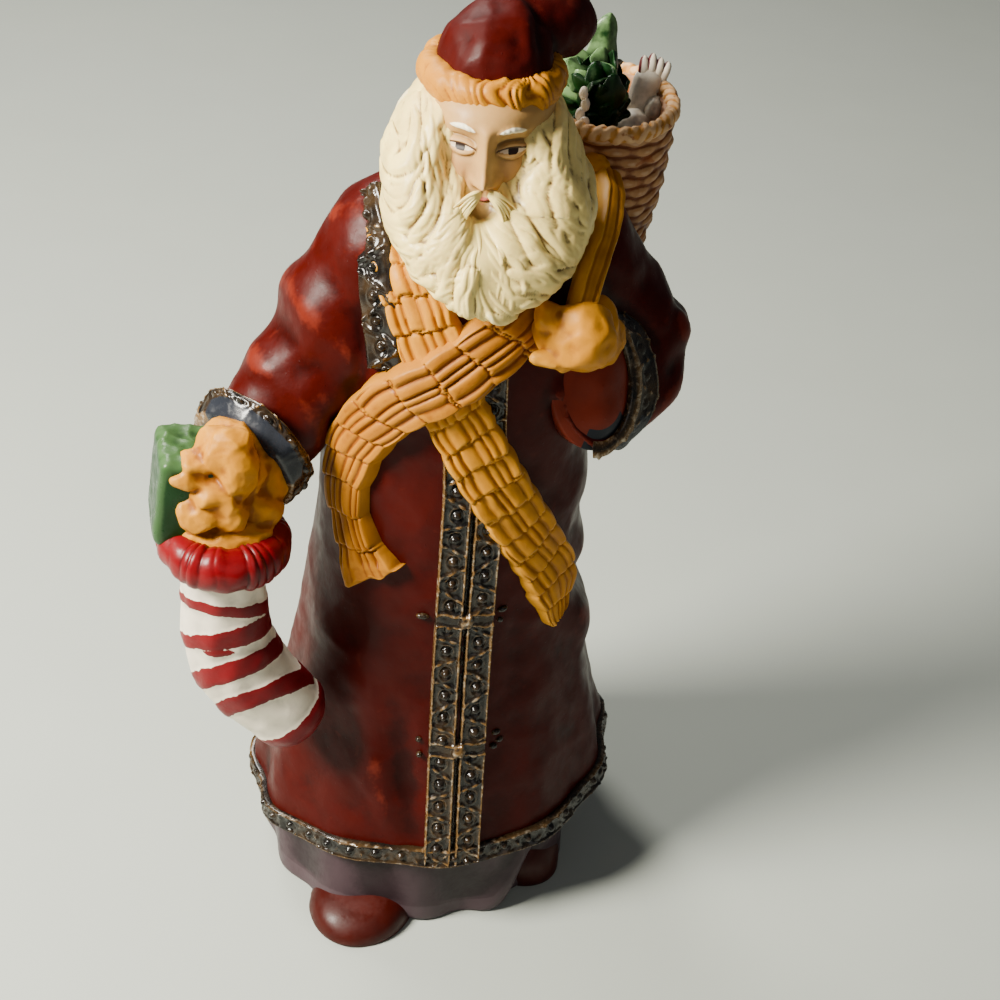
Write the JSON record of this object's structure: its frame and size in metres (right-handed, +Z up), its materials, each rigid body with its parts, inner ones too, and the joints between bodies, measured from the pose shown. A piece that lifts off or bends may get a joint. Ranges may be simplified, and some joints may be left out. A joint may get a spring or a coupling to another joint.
{
  "type": "santa figurine",
  "caption": "Standing cast-resin Father Christmas with a long coat, crossed scarf, filled stocking in the right hand and a toy basket on the back.",
  "frame": {"origin": "on the surface it stands on, below the middle of the figure's box", "axes": "+Z up, -Y the way the figure faces, +X the figure's left"},
  "size_m": [0.0979, 0.0736, 0.1801],
  "materials": {
    "coat_red": "oxblood paint on cast resin, satin, with brighter rubbed edges",
    "hat_red": "oxblood paint on cast resin, satin",
    "gown_mauve": "dusty mauve paint on cast resin, satin",
    "boot_brown": "brick-brown paint on cast resin, satin",
    "trim_bronze": "black-brown paint with dry-brushed antique gold relief",
    "cuff_slate": "slate-blue paint with bronze relief",
    "mustard": "mustard paint with a brown wash in the hollows",
    "fur_mustard": "mustard paint with a brown wash in the hollows",
    "beard_cream": "cream paint, satin, with a light wash between the locks",
    "skin": "flesh paint, antiqued",
    "stocking_stripe": "white and crimson hand-painted stripes",
    "stocking_crimson": "crimson paint, glossy",
    "gift_green": "bottle-green paint, satin",
    "leaf_green": "dark green paint with sage dry-brushing",
    "basket_cane": "cream paint over a tan wash in the weave",
    "toy_white": "off-white paint, matt"
  },
  "bodies": {
    "root": {"figurine": "coat_red"}
  },
  "joints": []
}
